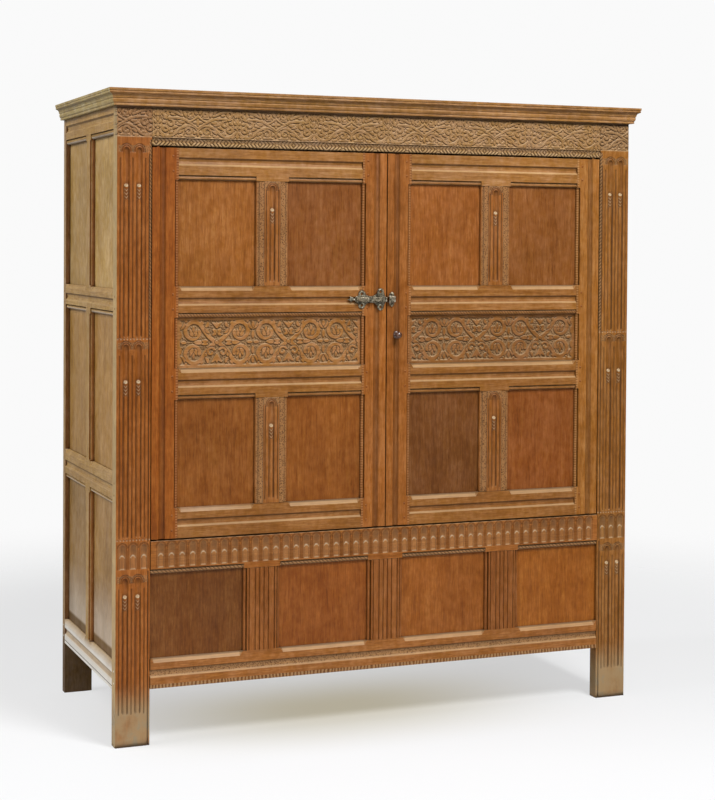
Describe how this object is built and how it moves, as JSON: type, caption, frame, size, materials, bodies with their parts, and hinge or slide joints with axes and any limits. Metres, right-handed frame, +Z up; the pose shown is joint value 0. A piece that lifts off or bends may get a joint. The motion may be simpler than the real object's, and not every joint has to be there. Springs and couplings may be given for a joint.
{
  "type": "clothes press",
  "caption": "Joined oak clothes press: panelled cupboard with a moulded cornice, carved frieze, nulled rail, fluted posts and a pair of framed doors closed by an iron slide bolt.",
  "frame": {"origin": "on the floor, under the middle of the press's bounding box", "axes": "+Z up, -Y out of the front with the doors, +X to the right as seen from the front"},
  "size_m": [1.68, 0.698, 1.83],
  "materials": {
    "oak": "waxed, warm brown",
    "oak_panel": "waxed, darker red-brown",
    "oak_carved": "carved, worn lighter",
    "oak_side": "waxed, faded",
    "iron": "wrought, dull grey",
    "knob_wood": "turned, dark red-brown"
  },
  "bodies": {
    "carcass": {"front_post_left": "oak_carved", "front_post_right": "oak_carved", "rear_post_left": "oak", "rear_post_right": "oak", "frieze_rail": "oak_carved", "arcade_rail": "oak_carved", "base_frame": "oak", "base_panel_1": "oak_panel", "base_panel_2": "oak_panel", "base_panel_3": "oak_panel", "base_panel_4": "oak_panel", "left_side_frame": "oak_side", "right_side_frame": "oak_side", "left_side_panel_lower_front": "oak_side", "left_side_panel_lower_rear": "oak_side", "left_side_panel_middle_front": "oak_side", "left_side_panel_middle_rear": "oak_side", "left_side_panel_upper_front": "oak_side", "left_side_panel_upper_rear": "oak_side", "right_side_panel_lower_front": "oak_side", "right_side_panel_lower_rear": "oak_side", "right_side_panel_middle_front": "oak_side", "right_side_panel_middle_rear": "oak_side", "right_side_panel_upper_front": "oak_side", "right_side_panel_upper_rear": "oak_side", "cornice": "oak", "top_boards": "oak", "back_boards": "oak", "floor_boards": "oak"},
    "left_door": {"left_door_hinge_stile": "oak", "left_door_meeting_stile": "oak", "left_door_bottom_rail": "oak", "left_door_lower_rail": "oak", "left_door_upper_rail": "oak", "left_door_top_rail": "oak", "left_door_lower_muntin": "oak_carved", "left_door_upper_muntin": "oak_carved", "left_door_lower_panel_1": "oak_panel", "left_door_lower_panel_2": "oak_panel", "left_door_upper_panel_1": "oak_panel", "left_door_upper_panel_2": "oak_panel", "left_door_carved_panel": "oak_carved", "bolt_plate": "iron"},
    "right_door": {"right_door_hinge_stile": "oak", "right_door_meeting_stile": "oak", "right_door_bottom_rail": "oak", "right_door_lower_rail": "oak", "right_door_upper_rail": "oak", "right_door_top_rail": "oak", "right_door_lower_muntin": "oak_carved", "right_door_upper_muntin": "oak_carved", "right_door_lower_panel_1": "oak_panel", "right_door_lower_panel_2": "oak_panel", "right_door_upper_panel_1": "oak_panel", "right_door_upper_panel_2": "oak_panel", "right_door_carved_panel": "oak_carved", "bolt_keeper": "iron", "pull_knob": "knob_wood"},
    "bolt": {"bolt": "iron"}
  },
  "joints": [
    {"name": "left_door_hinge", "type": "hinge", "parent": "carcass", "child": "left_door", "pos_m": [-0.692, -0.309, 0.575], "axis": [0, 0, -1], "range_deg": [0, 120]},
    {"name": "right_door_hinge", "type": "hinge", "parent": "carcass", "child": "right_door", "pos_m": [0.692, -0.309, 0.575], "axis": [0, 0, 1], "range_deg": [0, 120]},
    {"name": "bolt_slide", "type": "slide", "parent": "left_door", "child": "bolt", "axis": [1, 0, 0], "range_m": [0, 0.026]}
  ]
}
